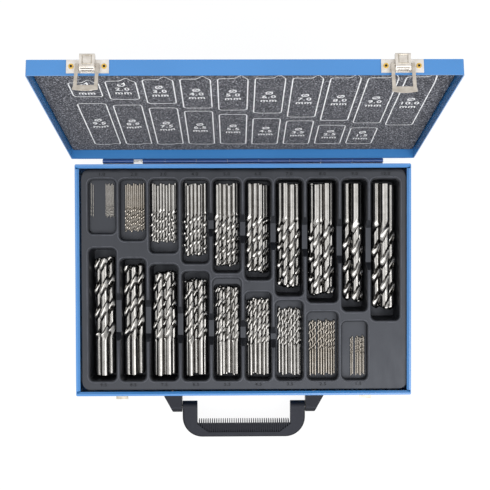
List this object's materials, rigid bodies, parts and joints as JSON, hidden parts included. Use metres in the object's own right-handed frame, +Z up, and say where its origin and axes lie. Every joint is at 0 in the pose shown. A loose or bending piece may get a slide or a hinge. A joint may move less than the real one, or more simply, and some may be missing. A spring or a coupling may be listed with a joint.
{
  "type": "drill bit carrying case",
  "caption": "Flat hinged-lid steel case with a moulded tray that holds a graded stock of twist drills, one size to a pocket, with draw latches and a swinging handle",
  "frame": {"origin": "centre of the base's underside, on the table it stands on", "axes": "+X to the right seen from the handle side, +Y to the rear where the hinge is, +Z up; the lid is open at rest"},
  "size_m": [0.3578, 0.3645, 0.2929],
  "materials": {
    "blue_enamel": "baked gloss enamel on folded sheet steel",
    "navy_enamel": "baked enamel on rolled hinge leaf",
    "bright_steel": "drawn bright steel wire",
    "plated_steel": "bright plated pressed steel",
    "eyelet_brass": "brass-plated hollow rivet",
    "drill_steel": "ground high-speed steel",
    "tray_plastic": "thermoformed sheet with a fine grain",
    "handle_plastic": "moulded nylon with a fine grain",
    "foam": "fine-celled polyurethane foam with a white print"
  },
  "bodies": {
    "base": {"base_shell": "blue_enamel", "tray": "tray_plastic", "hinge_leaf_base": "navy_enamel", "hinge_pin": "bright_steel", "catch_left": "plated_steel", "catch_right": "plated_steel", "catch_rivets": "plated_steel", "handle_bracket_left": "handle_plastic", "handle_bracket_right": "handle_plastic", "handle_bracket_rivets": "plated_steel", "handle_pins": "plated_steel"},
    "lid": {"lid_shell": "blue_enamel", "foam_pad": "foam", "hinge_leaf_lid": "navy_enamel", "latch_plate_left": "plated_steel", "latch_plate_right": "plated_steel", "latch_pivot_left": "plated_steel", "latch_pivot_right": "plated_steel", "latch_eyelets": "eyelet_brass"},
    "handle": {"handle": "handle_plastic"},
    "lever_left": {"latch_lever_left": "plated_steel", "latch_bail_pin_left": "plated_steel"},
    "bail_left": {"latch_bail_left": "plated_steel"},
    "lever_right": {"latch_lever_right": "plated_steel", "latch_bail_pin_right": "plated_steel"},
    "bail_right": {"latch_bail_right": "plated_steel"},
    "bits_1_0": {"drill_bits_1_0": "drill_steel"},
    "bits_2_0": {"drill_bits_2_0": "drill_steel"},
    "bits_3_0": {"drill_bits_3_0": "drill_steel"},
    "bits_4_0": {"drill_bits_4_0": "drill_steel"},
    "bits_5_0": {"drill_bits_5_0": "drill_steel"},
    "bits_6_0": {"drill_bits_6_0": "drill_steel"},
    "bits_7_0": {"drill_bits_7_0": "drill_steel"},
    "bits_8_0": {"drill_bits_8_0": "drill_steel"},
    "bits_9_0": {"drill_bits_9_0": "drill_steel"},
    "bits_10_0": {"drill_bits_10_0": "drill_steel"},
    "bits_9_5": {"drill_bits_9_5": "drill_steel"},
    "bits_8_5": {"drill_bits_8_5": "drill_steel"},
    "bits_7_5": {"drill_bits_7_5": "drill_steel"},
    "bits_6_5": {"drill_bits_6_5": "drill_steel"},
    "bits_5_5": {"drill_bits_5_5": "drill_steel"},
    "bits_4_5": {"drill_bits_4_5": "drill_steel"},
    "bits_3_5": {"drill_bits_3_5": "drill_steel"},
    "bits_2_5": {"drill_bits_2_5": "drill_steel"},
    "bits_1_5": {"drill_bits_1_5": "drill_steel"}
  },
  "joints": [
    {"name": "lid_hinge", "type": "hinge", "parent": "base", "child": "lid", "pos_m": [0, 0.1238, 0.034], "axis": [-1, 0, 0], "range_deg": [-102.4, 0]},
    {"name": "handle_swing", "type": "hinge", "parent": "base", "child": "handle", "pos_m": [0, -0.1351, 0.02], "axis": [-1, 0, 0], "range_deg": [-20, 97]},
    {"name": "latch_lever_left", "type": "hinge", "parent": "lid", "child": "lever_left", "pos_m": [-0.1282, 0.1849, 0.27838], "axis": [1, 0, 0], "range_deg": [0, 60]},
    {"name": "latch_bail_left", "type": "hinge", "parent": "lever_left", "child": "bail_left", "pos_m": [-0.1282, 0.18852, 0.27712], "axis": [-1, 0, 0], "range_deg": [-32, 60]},
    {"name": "latch_lever_right", "type": "hinge", "parent": "lid", "child": "lever_right", "pos_m": [0.1282, 0.1849, 0.27838], "axis": [1, 0, 0], "range_deg": [0, 50]},
    {"name": "latch_bail_right", "type": "hinge", "parent": "lever_right", "child": "bail_right", "pos_m": [0.1282, 0.18852, 0.27712], "axis": [-1, 0, 0], "range_deg": [-24, 60]},
    {"name": "lift_bits_1_0", "type": "slide", "parent": "base", "child": "bits_1_0", "axis": [0, 0, 1], "range_m": [0, 0.06]},
    {"name": "lift_bits_2_0", "type": "slide", "parent": "base", "child": "bits_2_0", "axis": [0, 0, 1], "range_m": [0, 0.06]},
    {"name": "lift_bits_3_0", "type": "slide", "parent": "base", "child": "bits_3_0", "axis": [0, 0, 1], "range_m": [0, 0.06]},
    {"name": "lift_bits_4_0", "type": "slide", "parent": "base", "child": "bits_4_0", "axis": [0, 0, 1], "range_m": [0, 0.06]},
    {"name": "lift_bits_5_0", "type": "slide", "parent": "base", "child": "bits_5_0", "axis": [0, 0, 1], "range_m": [0, 0.06]},
    {"name": "lift_bits_6_0", "type": "slide", "parent": "base", "child": "bits_6_0", "axis": [0, 0, 1], "range_m": [0, 0.06]},
    {"name": "lift_bits_7_0", "type": "slide", "parent": "base", "child": "bits_7_0", "axis": [0, 0, 1], "range_m": [0, 0.06]},
    {"name": "lift_bits_8_0", "type": "slide", "parent": "base", "child": "bits_8_0", "axis": [0, 0, 1], "range_m": [0, 0.06]},
    {"name": "lift_bits_9_0", "type": "slide", "parent": "base", "child": "bits_9_0", "axis": [0, 0, 1], "range_m": [0, 0.06]},
    {"name": "lift_bits_10_0", "type": "slide", "parent": "base", "child": "bits_10_0", "axis": [0, 0, 1], "range_m": [0, 0.06]},
    {"name": "lift_bits_9_5", "type": "slide", "parent": "base", "child": "bits_9_5", "axis": [0, 0, 1], "range_m": [0, 0.06]},
    {"name": "lift_bits_8_5", "type": "slide", "parent": "base", "child": "bits_8_5", "axis": [0, 0, 1], "range_m": [0, 0.06]},
    {"name": "lift_bits_7_5", "type": "slide", "parent": "base", "child": "bits_7_5", "axis": [0, 0, 1], "range_m": [0, 0.06]},
    {"name": "lift_bits_6_5", "type": "slide", "parent": "base", "child": "bits_6_5", "axis": [0, 0, 1], "range_m": [0, 0.06]},
    {"name": "lift_bits_5_5", "type": "slide", "parent": "base", "child": "bits_5_5", "axis": [0, 0, 1], "range_m": [0, 0.06]},
    {"name": "lift_bits_4_5", "type": "slide", "parent": "base", "child": "bits_4_5", "axis": [0, 0, 1], "range_m": [0, 0.06]},
    {"name": "lift_bits_3_5", "type": "slide", "parent": "base", "child": "bits_3_5", "axis": [0, 0, 1], "range_m": [0, 0.06]},
    {"name": "lift_bits_2_5", "type": "slide", "parent": "base", "child": "bits_2_5", "axis": [0, 0, 1], "range_m": [0, 0.06]},
    {"name": "lift_bits_1_5", "type": "slide", "parent": "base", "child": "bits_1_5", "axis": [0, 0, 1], "range_m": [0, 0.06]}
  ]
}
